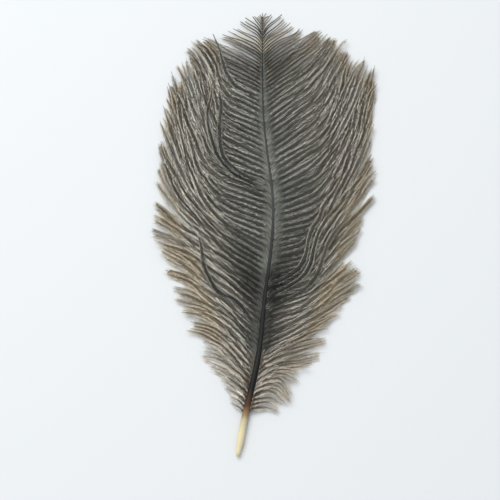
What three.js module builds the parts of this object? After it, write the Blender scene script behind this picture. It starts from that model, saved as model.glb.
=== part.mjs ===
// An ostrich feather lying on a flat surface. Millimetres: +Y runs from the quill to the tip,
// +Z is up, and the origin is on the surface under the middle of the feather's box.
//
// The feather grew as one thing and branches once: a shaft carries a vane of barbs on each side,
// and below each vane a tuft of down. Each of the five is a closed solid. A vane or a tuft is
// a thin sheet whose rows follow its barbs, with the barbs' clumped tips as teeth on its edge.
import * as THREE from "three";

// The shaft, seen from above: its length, and how far right of the line from quill to tip it lies.
const FEATHER_LENGTH = 169;
const SHAFT_BOW = [
  [0, 0],
  [12, 1.4],
  [24, 3.6],
  [36, 5.3],
  [54, 6.2],
  [76, 7.7],
  [92, 7.3],
  [112, 4.2],
  [126, 2.4],
  [148, 1],
  [169, 0],
];

// The shaft's radius and the height of its middle, at stations along the feather.
const SHAFT_RADIUS = [
  [0, 0.5],
  [2, 1.15],
  [20, 1.1],
  [40, 0.8],
  [90, 0.5],
  [140, 0.25],
  [169, 0.12],
];
const SHAFT_HEIGHT = [
  [0, 1.15],
  [20, 1.4],
  [45, 2.2],
  [120, 2.2],
  [169, 1.2],
];

// Where the barbs leave the shaft: down from DOWN_START to DOWN_END, vane from there to VANE_END.
const DOWN_START = 15;
const DOWN_END = 31;
const VANE_END = 166;

// The outlines that the barbs' tips reach, from the quill upwards.
const LEFT_DOWN_EDGE = [
  [-3, 18],
  [-6, 25],
  [-12, 31],
  [-16.4, 41],
];
const LEFT_VANE_EDGE = [
  [-16.8, 42],
  [-21.5, 51],
  [-25, 62],
  [-31, 72],
  [-34.2, 84],
  [-35.2, 103],
  [-32.6, 124],
  [-30.5, 139],
  [-27.2, 150],
  [-21.5, 156.5],
  [-10, 162],
  [-0.9, 168.9],
];
const RIGHT_DOWN_EDGE = [
  [6, 14.5],
  [12, 19],
  [20, 29],
  [23.6, 40.6],
];
const RIGHT_VANE_EDGE = [
  [24.2, 41.6],
  [33, 51.5],
  [37.2, 60],
  [37.4, 74],
  [41, 85],
  [41.2, 110],
  [41.8, 128],
  [41.3, 142],
  [31.5, 153],
  [20.5, 158.5],
  [11, 162.5],
  [0.9, 168.9],
];

// A vane's or tuft's thickness at the shaft and at its edge. Its underside lies on the surface.
const SHEET_INNER = 3.2;
const SHEET_OUTER = 1.3;
const RIB_HEIGHT = 0.35; // how far every other row of barbs stands up
const TOOTH_SHARE = 0.06; // how much shorter the row between two clumps is

// How the barbs run: they leave the shaft at this angle from it, for this share of their span.
const BARB_LEAVES = THREE.MathUtils.degToRad(62);
const BARB_STRAIGHT_SHARE = 0.5;

const GAP = 0.3; // clearance between neighbouring solids
const SHAFT_SIDES = 10;
const SHAFT_STEPS = 36;
const VANE_ROWS = 48;
const DOWN_ROWS = 12;
const COLUMNS = 5;

const LEFT = -1;
const RIGHT = 1;

// A smooth line through [x, y] points.
function smoothLine(points) {
  const along = points.map(([x, y]) => new THREE.Vector2(x, y));
  return new THREE.SplineCurve(along);
}

// Straight-line interpolation in a list of [station, value] pairs.
function valueAt(table, station) {
  const next = table.findIndex(([at]) => at >= station);
  if (next <= 0) return table.at(next).at(1);
  const [fromAt, fromValue] = table[next - 1];
  const [toAt, toValue] = table[next];
  return THREE.MathUtils.mapLinear(station, fromAt, toAt, fromValue, toValue);
}

const bow = smoothLine(SHAFT_BOW);

// How far right of the quill-to-tip line the shaft's middle lies at a station.
function bowAt(station) {
  let low = 0;
  let high = 1;
  for (let step = 0; step < 24; step += 1) {
    const middle = (low + high) / 2;
    if (bow.getPoint(middle).x < station) low = middle;
    else high = middle;
  }
  return bow.getPoint(low).y;
}

// Moves each vertex of a closed solid to the place that `place` gives for it.
function reshape(geometry, place) {
  const vertices = geometry.attributes.position;
  const vertex = new THREE.Vector3();
  for (let i = 0; i < vertices.count; i += 1) {
    place(vertex.fromBufferAttribute(vertices, i));
    vertices.setXYZ(i, vertex.x, vertex.y, vertex.z);
  }
  geometry.computeVertexNormals();
  return geometry;
}

// The calamus and rachis: one round, tapering, bowed rod.
function shaftGeometry() {
  const rod = new THREE.CylinderGeometry(1, 1, 1, SHAFT_SIDES, SHAFT_STEPS);
  return reshape(rod, (vertex) => {
    const station = (vertex.y + 0.5) * FEATHER_LENGTH;
    const radius = valueAt(SHAFT_RADIUS, station);
    const height = valueAt(SHAFT_HEIGHT, station);
    vertex.set(bowAt(station) + vertex.x * radius, station, height + vertex.z * radius);
  });
}

// The middle line of a barb from its root beside the shaft to its tip on the outline.
function barbLine(side, station, tip) {
  const clear = valueAt(SHAFT_RADIUS, station) + GAP;
  const root = new THREE.Vector2(bowAt(station) + side * clear, station);
  const reach = Math.abs(tip.x - root.x) * BARB_STRAIGHT_SHARE;
  const rise = Math.min(reach / Math.tan(BARB_LEAVES), (tip.y - root.y) * BARB_STRAIGHT_SHARE);
  const bend = new THREE.Vector2(root.x + side * reach, root.y + rise);
  return new THREE.QuadraticBezierCurve(root, bend, tip);
}

// A sheet of barbs on one side of the shaft, between two root stations, out to an outline.
function sheetGeometry(side, rows, fromStation, toStation, outline) {
  const edge = smoothLine(outline);
  const block = new THREE.BoxGeometry(1, 1, 1, COLUMNS, rows, 1);
  return reshape(block, (vertex) => {
    const outwards = side * vertex.x + 0.5;
    const row = Math.round((vertex.y + 0.5) * rows);
    const clump = row % 2;
    const station = THREE.MathUtils.lerp(fromStation, toStation, row / rows);
    const barb = barbLine(side, station, edge.getPointAt(row / rows));
    const place = barb.getPoint(outwards * (clump ? 1 : 1 - TOOTH_SHARE));
    const thickness = THREE.MathUtils.lerp(SHEET_INNER, SHEET_OUTER, outwards);
    const top = thickness + clump * RIB_HEIGHT;
    vertex.set(place.x, place.y, vertex.z > 0 ? top : 0);
  });
}

// The tuft of down below a vane.
function downGeometry(side, outline) {
  return sheetGeometry(side, DOWN_ROWS, DOWN_START, DOWN_END - GAP, outline);
}

// The vane of barbs above the down.
function vaneGeometry(side, outline) {
  return sheetGeometry(side, VANE_ROWS, DOWN_END + GAP, VANE_END, outline);
}

const keratin = new THREE.MeshStandardMaterial({
  color: 0x3a342d,
  roughness: 0.4,
  metalness: 0,
});
const barbs = new THREE.MeshStandardMaterial({
  color: 0x6b6760,
  roughness: 0.85,
  metalness: 0,
});
const down = new THREE.MeshStandardMaterial({
  color: 0x807768,
  roughness: 0.95,
  metalness: 0,
});

function piece(name, geometry, material) {
  const mesh = new THREE.Mesh(geometry, material);
  mesh.name = name;
  return mesh;
}

const feather = new THREE.Group();
feather.add(
  piece("shaft", shaftGeometry(), keratin),
  piece("vane_left", vaneGeometry(LEFT, LEFT_VANE_EDGE), barbs),
  piece("vane_right", vaneGeometry(RIGHT, RIGHT_VANE_EDGE), barbs),
  piece("down_left", downGeometry(LEFT, LEFT_DOWN_EDGE), down),
  piece("down_right", downGeometry(RIGHT, RIGHT_DOWN_EDGE), down),
);

// The origin goes under the middle of the box that the five pieces fill.
const box = new THREE.Box3().setFromObject(feather);
const middle = box.getCenter(new THREE.Vector3());
feather.position.set(-middle.x, -middle.y, -box.min.z);

const part = new THREE.Group();
part.add(feather);
export default part;
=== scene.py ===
"""An ostrich feather lying on a pale floor.

The packed shaft, vanes and down give the places. The shaft is modelled as a tapering quill, and
each vane and tuft as its real strands: barbs that leave the shaft and curve out to the outline,
and the barbules that line them. Lengths in the tables below are millimetres in the packed frame,
with stations counted along +Y from the quill's end.
"""

import math

import bpy
import numpy as np
from bpy.props import FloatProperty, FloatVectorProperty, IntProperty, PointerProperty
from bpy.types import Operator, Panel, PropertyGroup
from mathutils import Matrix, Vector


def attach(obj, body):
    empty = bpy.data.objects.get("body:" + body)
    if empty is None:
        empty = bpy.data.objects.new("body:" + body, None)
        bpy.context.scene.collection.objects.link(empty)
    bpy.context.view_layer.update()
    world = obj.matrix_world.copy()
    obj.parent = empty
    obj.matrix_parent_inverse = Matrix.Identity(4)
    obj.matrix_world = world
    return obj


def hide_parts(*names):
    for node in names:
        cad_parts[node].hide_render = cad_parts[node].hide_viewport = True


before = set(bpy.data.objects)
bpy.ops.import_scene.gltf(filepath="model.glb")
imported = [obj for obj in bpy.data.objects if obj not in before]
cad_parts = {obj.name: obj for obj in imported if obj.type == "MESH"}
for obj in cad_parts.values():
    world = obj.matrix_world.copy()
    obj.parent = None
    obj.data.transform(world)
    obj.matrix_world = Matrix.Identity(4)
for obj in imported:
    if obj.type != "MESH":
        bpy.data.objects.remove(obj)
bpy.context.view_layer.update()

bl_info = {
    "name": "Ostrich Feather",
    "version": (1, 0, 0),
    "blender": (4, 5, 0),
    "location": "3D Viewport > Sidebar > Feather",
    "description": "Grows an ostrich feather's barbs and barbules along its shaft",
    "category": "Add Mesh",
}

MM = 0.001
TINY = 1e-9  # the least that a length is divided by
LEFT = -1
RIGHT = 1

# The strands' map: U runs across a strand, and along V each barb has a strip of its own.
STRAND_MAP = "OFBake"
STRIP_MARGIN = 0.06  # left clear at each end of a strip
ROOT_SHARE = 0.15  # the share of a strip that a barb's pale part beside the shaft has
ROOT_REACH = 3.0  # how long that part is on a long barb
ROOT_GROWS = (12, 42)  # the lengths of barb between which it grows to that
LEAST_ROOT = 0.12  # its share of that on the shortest barbs
BARB_ON_MAP = (0.2, 0.5, 0.8, 0.5)  # U of a barb's four sides
BARBULE_ON_MAP = (0.01, 0.4, 0.4, 0.4, 0.99)  # U of a barbule's foot, bend and tip
BARBULE_WIDTH_ON_MAP = 0.0012  # along V, from a barbule's middle to its side

# The strands' sections.
FLATNESS = 0.7  # how high a strand is beside its width
BARB_TAPER = 0.7  # under 1, so a barb thins soonest near its root
THIN_BARB = 0.22  # how thick the shortest barbs are beside the longest
THICKENS_OVER = 42  # the length of barb over which they would thicken by the whole

# More barbs that leave the shaft beside one, where its upper neighbour comes far away from it.
COMPANIONS = 3  # at most
COMPANION_STEP = 0.3  # between their roots
COMPANION_PARTS = (-0.15, 0.45)  # the shares of the barb over which they come away from it

# How the barbs run: the angles from +Y at which they cross the inner vane, the outer vane and the
# edge, and the distances from the shaft between which they turn from each to the next.
# Columns: station, inner angle, outer angle, from, to, edge angle, from, to.
LEFT_FLOW = (
    (15, 60, 72, 3, 10, 96, 8, 14),
    (32, 44, 62, 6, 14, 84, 10, 18),
    (40, 42, 58, 7, 16, 82, 12, 22),
    (47, 48, 56, 8, 20, 80, 15, 24),
    (60, 54, 50, 10, 20, 76, 22, 31),
    (74, 60, 50, 10, 20, 60, 28, 37),
    (84, 70, 44, 10, 21, 48, 30, 38),
    (94, 69, 32, 12, 26, 34, 30, 40),
    (103, 66, 24, 13, 29, 22, 32, 40),
    (113, 64, 19, 11, 22, 18, 32, 40),
    (130, 62, 16, 9, 17, 20, 28, 36),
    (142, 60, 19, 10, 17, 22, 26, 34),
    (150, 59, 28, 12, 18, 28, 26, 34),
    (157, 60, 60, 12, 18, 60, 24, 30),
    (163, 52, 62, 4, 12, 62, 24, 30),
    (169, 28, 40, 2, 6, 40, 24, 30),
)
RIGHT_FLOW = (
    (15, 84, 120, 3, 9, 125, 10, 18),
    (22, 70, 148, 3, 10, 130, 12, 20),
    (27, 62, 126, 4, 12, 112, 13, 20),
    (32, 62, 80, 5, 12, 92, 14, 20),
    (36, 61, 70, 5, 13, 86, 14, 22),
    (41, 60, 62, 6, 14, 78, 14, 24),
    (48, 68, 52, 9, 17, 68, 20, 28),
    (57, 74, 46, 10, 16, 66, 19, 28),
    (66, 74, 36, 10, 16, 54, 19, 29),
    (76, 76, 26, 10, 16, 48, 19, 30),
    (84, 75, 27, 10, 17, 42, 21, 32),
    (94, 63, 31, 11, 20, 36, 24, 34),
    (104, 56, 24, 10, 25, 22, 30, 36),
    (122, 50, 15, 11, 30, 12, 32, 38),
    (140, 50, 13, 11, 28, 14, 32, 38),
    (152, 50, 26, 12, 28, 22, 32, 38),
    (160, 50, 44, 8, 22, 40, 32, 38),
    (169, 28, 40, 2, 6, 40, 32, 38),
)

# Between the roots of neighbouring barbs, by station.
BARB_SPACING = (
    (14, 1.4), (31, 1.6), (45, 2.0), (60, 2.2), (75, 2.3), (125, 2.2), (142, 1.6), (152, 1.35),
    (160, 1.2), (169, 1.0),
)
UNEVEN_SPACING = (0.85, 1.15)

# The angle from +Y at which a barb leaves the shaft, by station.
BARB_LEAVES = ((150, 36), (160, 30), (169, 20))

# Barbs that strayed out of their row and lie over the rest, from root to tip in the packed frame,
# how high they lie, and the shares of their length over which they climb to that and come down.
STRAY_HEIGHT = 2.9
STRAY_CLIMBS = (0.08, 0.34)
STRAY_SINKS = (0.7, 1)
LEFT_STRAYS = (
    ((0.6, -41.4), (-3.2, -35), (-7.5, -30.7), (-12.8, -28), (-15.9, -23.4), (-18.2, -18.6),
     (-19.8, -10.8), (-21.6, -5.6)),
    ((1, 11), (-5.3, 14.4), (-9.3, 16.6), (-12.5, 19.3), (-15.1, 22.3), (-17.1, 26.2),
     (-18.9, 31.3), (-20.3, 36.3), (-20.9, 42), (-20.1, 49), (-20.2, 54)),
    ((1, 13.4), (-5, 15.9), (-8.5, 17.8), (-11.2, 19.8), (-13.5, 22.3), (-15, 26.2),
     (-15.9, 31.3), (-16.3, 38), (-16.2, 44), (-17.2, 51), (-17.9, 58)),
    ((-1.8, 48), (-5, 49.3), (-8, 50.5), (-10.8, 52), (-13.1, 54.6), (-15, 57.7), (-16.7, 62.7),
     (-18.2, 68), (-21, 75)),
)
RIGHT_STRAYS = (
    ((2.4, -24.6), (7.4, -23.4), (12.4, -20), (14.8, -17), (15.9, -13.4), (16.6, -8.6),
     (17.8, -4.2), (19.8, -0.5), (21.4, 5), (24.2, 12), (29, 19.5)),
    ((2.4, -29), (7.8, -27), (14.4, -22.6), (17.4, -17.6), (18.6, -11), (20.2, -5),
     (23.2, 0.4), (27.6, 6.4), (32.4, 11.4)),
    ((2.4, -33.5), (8, -31.4), (15, -27.4), (19.4, -22), (21.6, -15.4), (23.4, -9.4),
     (26.4, -3.6), (30.6, 1.6)),
)

# Where barbs broke short and left a gap in the left shoulder: root stations, and what's left.
LEFT_BREAK = (143.8, 147.4, 0.7)

# Where the vanes' lowest and highest barbs leave the shaft, the highest from the feather's tip.
VANE_START = 27.5
VANE_STOPS = 1.6

# Where the lowest and highest barbs of the down leave it.
DOWN_STATIONS = (15.0, 34.5)

# How far the barbs' tips go past the packed outline, by station.
LEFT_PAST = (
    (30, 2.5), (36, 4), (42, 3.6), (46, 0.8), (56, 0.8), (66, 1.2), (72, 3), (77, 2), (83, 0),
    (96, 0.8), (108, 0.4), (118, 2.4), (130, 1.4), (140, 1.4), (147, 3.6), (154, 4), (157, 1),
    (161, 0.6), (169, 1),
)
RIGHT_PAST = (
    (30, 2), (38, 0.6), (42, -0.6), (46, -2.6), (50, -3), (55, -0.6), (59, 2), (66, 2.6),
    (70, -0.6), (77, -1.6), (81, 1), (86, 1.6), (95, 1.8), (103, 1.2), (112, 1), (118, 0),
    (136, 0.2), (143, 2.4), (150, 3.2), (155, 3.4), (160, 4), (164, 3), (169, 1.2),
)

RIGHT_PALER = 1.12  # how much paler most of the right vane's inner half is than the left's
RIGHT_SOONER = 0.05  # and how much sooner along a barb it turns paler, as a share of the barb


class Part:
    """A stretch of a vane with its own finish, by the stations at which its barbs leave."""

    def __init__(self, name, stations, tones, turn, tip_start, foot_end, **rest):
        self.name = name
        self.stations = stations
        self.tones = tones  # how pale its inner half is at its lower and its upper end
        self.turn = turn  # the shares of a barb between which it turns to its outer colours
        self.tip_start = tip_start  # the share of a barb where the tip's colours start
        self.foot_end = foot_end  # how much of a barbule has its foot's dark colour
        self.thick = rest.pop("thick", (1, 1))  # the barbs' thickness at root and tip, as a share
        self.warm = rest.pop("warm", 0)  # how much of the feather's tip's warm colours it has
        # Low on the vane, the paler left and darker right beside the shaft are painted light from
        # the side and painted shade, over the band's own pale colour.
        self.roots = dict(zip((LEFT, RIGHT), rest.pop("roots", (1, 1))))  # how pale by the shaft
        self.right = rest.pop("right", RIGHT_PALER)  # how pale its right side is beside its left
        self.tip_paler = rest.pop("tip_paler", 1)  # how much paler its barbs' tips are
        self.stand = rest  # what differs in how its barbules stand


PAST_TIP = 999  # past every station

# What the parts of fluffy barbs low on the vane share, and those at the feather's tip.
FLUFF = {"bare_tip": 1.8, "tip_reach": 0.7, "tip_spread": 0.6, "tip_paler": 1.35}
TIPS = {"bare_tip": 2.6, "tip_reach": 0.5, "tip_spread": 0.6, "taper_reach": 7}
# In the low, lower and waist parts the roots' pairs are painted side light: a paler band left of
# the shaft, and painted shade in the band right of it.
VANE_PARTS = (
    Part("low", (0, 48), (0.54, 0.34), (0.06, 0.42), 0.5, 0.38, thick=(1, 1.9), roots=(1.05, 0.72),
         right=0.95, **FLUFF),
    Part("lower", (48, 62), (0.28, 0.28), (0.16, 0.52), 0.66, 0.42, thick=(1, 1.9),
         roots=(1.5, 0.8), right=0.84, **FLUFF),
    Part("waist", (62, 70), (0.38, 0.61), (0.14, 0.52), 0.8, 0.45, thick=(1, 1.5),
         roots=(1.9, 1.6), right=0.86),
    Part("middle", (70, 82), (0.61, 0.95), (0.14, 0.52), 0.8, 0.45, thick=(1, 1.5)),
    Part("high", (82, 104), (0.8, 0.98), (0.14, 0.54), 0.84, 0.45),
    Part("upper", (104, 119), (1.0, 1.04), (0.14, 0.6), 0.84, 0.46, bare_tip=2, tip_reach=0.5,
         roots=(0.88, 0.88), band_rise=12),
    Part("top", (119, 134), (1.06, 1.06), (0.14, 0.6), 0.84, 0.46, bare_tip=2, tip_reach=0.5,
         roots=(0.72, 0.72), band_rise=5),
    Part("shoulder", (134, 150), (0.62, 0.58), (0.3, 0.85), 0.7, 0.48, thick=(1.1, 2.2), warm=0.4,
         band_rise=6, **TIPS),
    Part("high_tip", (150, 157), (0.6, 0.72), (0.1, 0.6), 0.5, 0.4, thick=(1.9, 4), warm=0.8,
         **TIPS),
    Part("tip", (157, PAST_TIP), (0.74, 0.9), (0.1, 0.6), 0.6, 0.4, thick=(2.3, 8), warm=0.8,
         length=1.5, **TIPS),
)
STRAYS = {"thick": (1.2, 3), "length": 2}
STRAY_PARTS = {
    LEFT: Part("strays", (0, PAST_TIP), (0.6, 1.1), (0.4, 1.2), 0.88, 0.48, **STRAYS),
    RIGHT: Part("strays", (0, PAST_TIP), (0.6, 0.6), (0.1, 0.9), 0.8, 0.5, **STRAYS),
}


# ---------------------------------------------------------------- reading the packed frame


def node_points(name):
    """A packed node's vertices, in millimetres."""
    return np.array([v.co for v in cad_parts[name].data.vertices]) / MM


def smoothstep(low, high, value):
    """0 below low, 1 above high, and an even turn between them."""
    share = np.clip((value - low) / np.maximum(high - low, TINY), 0, 1)
    return share * share * (3 - 2 * share)


class Shaft:
    """The packed shaft's middle line and radius, by the place along Y."""

    RING_DEPTH = 0.1  # how far apart along Y the points of one packed ring are at most
    FINE_STATIONS = 340
    SMOOTHED_OVER = 15  # of the fine stations
    SLENDER = 0.1  # how much thinner than the packed solid the rachis is between the vanes
    SLENDER_OVER = (30, 70)  # the stations over which it thins to that

    def __init__(self):
        points = node_points("shaft")
        rings = np.unique(points[:, 1].round(1))
        spans = [points[np.abs(points[:, 1] - y) < self.RING_DEPTH] for y in rings]
        lows = np.array([span.min(0) for span in spans])
        highs = np.array([span.max(0) for span in spans])
        self.quill = points[:, 1].min()
        self.tip = points[:, 1].max()
        self.fine = np.linspace(self.quill, self.tip, self.FINE_STATIONS)
        thinner = self.SLENDER * smoothstep(*self.SLENDER_OVER, self.fine - self.quill)
        self.middle_x = self.smoothed(rings, (lows[:, 0] + highs[:, 0]) / 2)
        self.middle_z = self.smoothed(rings, (lows[:, 2] + highs[:, 2]) / 2)
        self.radii = np.interp(self.fine, rings, (highs[:, 2] - lows[:, 2]) / 2) * (1 - thinner)

    def smoothed(self, rings, values):
        """The values at the fine stations, without the corners at the packed rings."""
        width = self.SMOOTHED_OVER
        line = np.interp(self.fine, rings, values)
        before = 2 * line[0] - line[width // 2 : 0 : -1]
        after = 2 * line[-1] - line[-2 : -2 - width // 2 : -1]
        padded = np.concatenate([before, line, after])
        return np.convolve(padded, np.ones(width) / width, "valid")

    def x(self, y):
        return np.interp(y, self.fine, self.middle_x)

    def z(self, y):
        return np.interp(y, self.fine, self.middle_z)

    def radius(self, y):
        return np.interp(y, self.fine, self.radii)

    def middle(self, y):
        """The shaft's middle at a place along Y, in metres."""
        return Vector((float(self.x(y)), float(y), float(self.z(y)))) * MM


class Side:
    """One side of the feather: its flow of barbs and how far out its tips reach."""

    TOOTH = 2  # stations on each side that a tip on the outline covers
    LEVEL = 1e-6  # the least rise of an edge
    CLEARANCE = 0.05  # between a barbule and the shaft

    def __init__(self, shaft, sign):
        self.shaft = shaft
        self.sign = sign
        self.word, flow = ("left", LEFT_FLOW) if sign == LEFT else ("right", RIGHT_FLOW)
        self.flow = np.array(flow, float)
        self.stations = np.arange(shaft.quill, shaft.tip, 1.0)
        reach = np.zeros(len(self.stations))
        for part in ("vane_", "down_"):
            reach = np.maximum(reach, self.outline(part + self.word))
        around = np.pad(reach, self.TOOTH)
        self.reach = np.lib.stride_tricks.sliding_window_view(around, 2 * self.TOOTH + 1).max(1)

    def outline(self, name):
        """How far out a packed node's edges reach at each of the stations."""
        edges = [edge.vertices[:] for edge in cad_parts[name].data.edges]
        start, end = node_points(name)[np.array(edges)].transpose(1, 0, 2)
        rise = end[:, 1] - start[:, 1]
        rise = np.where(np.abs(rise) < self.LEVEL, self.LEVEL, rise)
        share = (self.stations[:, None] - start[:, 1]) / rise
        x = start[:, 0] + share * (end[:, 0] - start[:, 0])
        out = self.sign * (x - self.shaft.x(self.stations)[:, None])
        return np.where((share >= 0) & (share <= 1), out, 0).max(1)

    def outward(self, at):
        """How far out from the shaft's middle points [..., x y] are."""
        return self.sign * (at[..., 0] - self.shaft.x(at[..., 1]))

    def clear_of_shaft(self, points):
        """Moves points [..., x y z] that are over the shaft out to beside it."""
        need = self.shaft.radius(points[..., 1]) + self.CLEARANCE
        points[..., 0] += self.sign * np.maximum(need - self.outward(points), 0)

    def edge(self, y):
        """How far out the outline is at a place along Y."""
        return np.interp(y, self.stations, self.reach, left=0, right=0)

    def lean(self, at, leave, leave_reach):
        """The flow's angle from +Y at points [..., x y], in radians."""
        station = at[..., 1] - self.shaft.quill
        out = self.outward(at)
        inner, outer, start, end, edge, edge_start, edge_end = (
            np.interp(station, self.flow[:, 0], column) for column in self.flow[:, 1:].T
        )
        angle = inner + (outer - inner) * smoothstep(start, end, out)
        angle = angle + (edge - angle) * smoothstep(edge_start, edge_end, out)
        angle = leave + (angle - leave) * smoothstep(0, leave_reach, out)
        return np.radians(angle)


# ---------------------------------------------------------------- strands as arrays


def unit(vectors):
    """The vectors with a length of one."""
    return vectors / np.maximum(np.linalg.norm(vectors, axis=-1, keepdims=True), TINY)


def aside_of(way):
    """The level direction square to each direction, to its right."""
    return unit(np.stack([way[..., 1], -way[..., 0], np.zeros_like(way[..., 0])], -1))


def steps_of(lines):
    """The length of each step along each line."""
    return np.linalg.norm(np.diff(lines, axis=1), axis=2)


class Barbs:
    """Barbs as evenly spaced points: line[barb, step] is x y z, and length is each one's arc."""

    def __init__(self, line, side):
        self.line = line
        self.side = side
        self.length = steps_of(line).sum(1)
        self.steps = line.shape[1] - 1

    def at(self, barb, share):
        """Place and unit direction on each barb, a share of the way along it."""
        place = np.clip(share, 0, 1) * self.steps
        low = np.minimum(place.astype(int), self.steps - 1)
        start, end = self.line[barb, low], self.line[barb, low + 1]
        return start + (end - start) * (place - low)[:, None], unit(end - start)

    def part(self, keep):
        return Barbs(self.line[keep], self.side)


def resampled(line, length, steps):
    """Each line cut at its length and given evenly spaced points."""
    arc = np.concatenate([np.zeros((len(line), 1)), steps_of(line).cumsum(1)], 1)
    even = np.linspace(0, 1, steps + 1)
    made = np.empty((len(line), steps + 1, line.shape[2]))
    for i, own in enumerate(line):
        want = even * min(length[i], arc[i, -1])
        for axis in range(line.shape[2]):
            made[i, :, axis] = np.interp(want, arc[i], own[:, axis])
    return made


def clumps_of(count, smallest, largest, rng):
    """The number of the clump that each barb in a row belongs to."""
    sizes = rng.integers(smallest, largest + 1, count)
    return np.repeat(np.arange(count), sizes)[:count]


def swell(count, run, rng):
    """A smooth random row of about -1 to 1, whose neighbours within a run are alike."""
    knots = rng.uniform(-1, 1, int(count / run) + 3)
    return np.interp(np.arange(count) / run + rng.uniform(0, 1), np.arange(len(knots)), knots)


def root_stations(start, end, rng):
    """Where along the shaft the barbs leave it, at the table's spacing and a little uneven."""
    stations = [start]
    table = np.array(BARB_SPACING)
    while stations[-1] < end:
        spacing = np.interp(stations[-1], table[:, 0], table[:, 1])
        stations.append(stations[-1] + spacing * rng.uniform(*UNEVEN_SPACING))
    return np.array(stations[:-1])


def gaps_between(flat):
    """How far each barb's upper neighbour comes away from it, at most."""
    gaps = np.zeros(len(flat))
    for i in range(len(flat) - 1):
        away = np.linalg.norm(flat[i][:, None] - flat[i + 1][None], axis=2)
        beside = away.argmin(1) < flat.shape[1] - 1
        gaps[i] = away.min(1)[beside].max(initial=0)
    return gaps


def with_companions(flat, roots, widest):
    """The barbs, with more that leave the shaft beside one and fill the gap to its neighbour."""
    count = np.minimum((gaps_between(flat) / widest).astype(int), COMPANIONS)
    beside = np.repeat(np.arange(len(flat)), count)
    order = np.arange(len(beside)) - np.repeat(count.cumsum() - count, count) + 1
    weight = (order / (count[beside] + 1))[:, None, None]
    share = np.linspace(0, 1, flat.shape[1])[None, :, None]
    weight = weight * smoothstep(*COMPANION_PARTS, share)
    above = flat[np.minimum(beside + 1, len(flat) - 1)]
    flat = np.concatenate([flat, flat[beside] + (above - flat[beside]) * weight])
    roots = np.concatenate([roots, roots[beside] + order * COMPANION_STEP])
    upward = np.argsort(roots)
    return flat[upward], roots[upward]


def follow_flow(side, roots, rng, form):
    """Each barb's path from the shaft along the side's flow, and how far it goes."""
    shaft = side.shaft
    y = shaft.quill + roots
    at = np.stack([shaft.x(y) + side.sign * shaft.radius(y) * form["root_out"], y], 1)
    drift = np.radians(form["drift"] * swell(len(roots), form["drift_run"], rng))
    drift = drift + np.radians(rng.normal(0, form["own_drift"], len(roots)))
    late = np.radians(rng.normal(0, form["late_drift"], len(roots)))
    phase = rng.uniform(0, 2 * np.pi, len(roots))
    wave = np.radians(form["wave"]) * rng.uniform(form["least_wave"], 1, len(roots))
    wavelength = rng.uniform(*form["wavelength"], len(roots))
    leave = np.interp(roots, *np.array(BARB_LEAVES).T)
    path = [at]
    inside = []
    step = form["step"]
    for i in range(int(form["longest"] / step)):
        gone = smoothstep(*form["drift_over"], i * step)
        far = smoothstep(*form["late"], i * step)
        swing = wave * np.sin(phase + 2 * np.pi * i * step / wavelength)
        lean = side.lean(at, leave, form["leave_reach"])
        lean = lean + gone * (drift + swing * (1 + form["late_wave"] * far)) + far * late
        at = at + step * np.stack([side.sign * np.sin(lean), np.cos(lean)], 1)
        path.append(at)
        past = np.interp(at[:, 1] - shaft.quill, *np.array(form["past_edge"]).T)
        inside.append(side.outward(at) < side.edge(at[:, 1]) + past)
    inside = np.stack(inside, 1)
    first = form["first_steps"]
    last = np.where(inside.all(1), inside.shape[1], (~inside[:, first:]).argmax(1) + first)
    length = last * step * (1 - form["ragged"] * np.abs(rng.normal(size=len(roots))))
    lone = rng.uniform(size=len(roots)) < form["lone_share"]
    lone_reach = rng.uniform(1, form["lone_reach"], len(roots))
    lone_reach = np.minimum(lone_reach, form["lone_most"] * length)
    if side.sign == LEFT:
        start, end, left = LEFT_BREAK
        length = np.where((roots > start) & (roots < end), left * length, length)
    return np.stack(path, 1), np.maximum(length + lone * lone_reach, form["shortest"])


def gathered(flat, clump, pull, start):
    """The barbs with each clump's ends drawn together, by its own pull."""
    share = np.linspace(0, 1, flat.shape[1])[None, :]
    centre = np.stack([flat[clump == c].mean(0) for c in range(clump.max() + 1)])[clump]
    pull = pull[:, None] * smoothstep(start, 1, share)
    return flat + (centre - flat) * pull[..., None]


def curled(flat, rng, form):
    """The barbs with each one's tip curled aside."""
    share = np.linspace(0, 1, flat.shape[1])[None, :]
    length = steps_of(flat).sum(1)
    over = np.maximum((share - 1) * length[:, None] + form["curl_reach"], 0)
    curl = np.tan(np.radians(rng.normal(0, form["curl"], len(flat))))
    curl = curl * np.minimum(1, length / form["curl_full"]) ** 2
    aside = curl[:, None] * over**2 / (2 * form["curl_reach"])
    way = unit(flat[:, -1] - flat[:, -4])
    return flat + aside[..., None] * np.stack([way[:, 1], -way[:, 0]], 1)[:, None]


def barb_heights(side, roots, clump, length, rng, form):
    """How high each barb's points are: up from the shaft, down at the edge, woven between."""
    share = np.linspace(0, 1, form["joints"] + 1)[None, :]
    y = side.shaft.quill + roots
    base = (side.shaft.z(y) + form["root_height"] * side.shaft.radius(y))[:, None]
    lift = (rng.uniform(*form["lift"], clump.max() + 1)[clump])[:, None]
    drop = (rng.uniform(*form["drop"], clump.max() + 1)[clump])[:, None]
    height = base + (lift - base) * smoothstep(*form["lift_over"], share)
    height = height + (drop - height) * smoothstep(*form["drop_over"], share)
    weave = rng.uniform(0, 2 * np.pi, len(roots))[:, None]
    weave = weave + 2 * np.pi * share * length[:, None] / form["weave_length"]
    height = height + form["weave"] * np.sin(weave) * smoothstep(*form["weave_over"], share)
    return np.maximum(height, form["lowest"])


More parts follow.
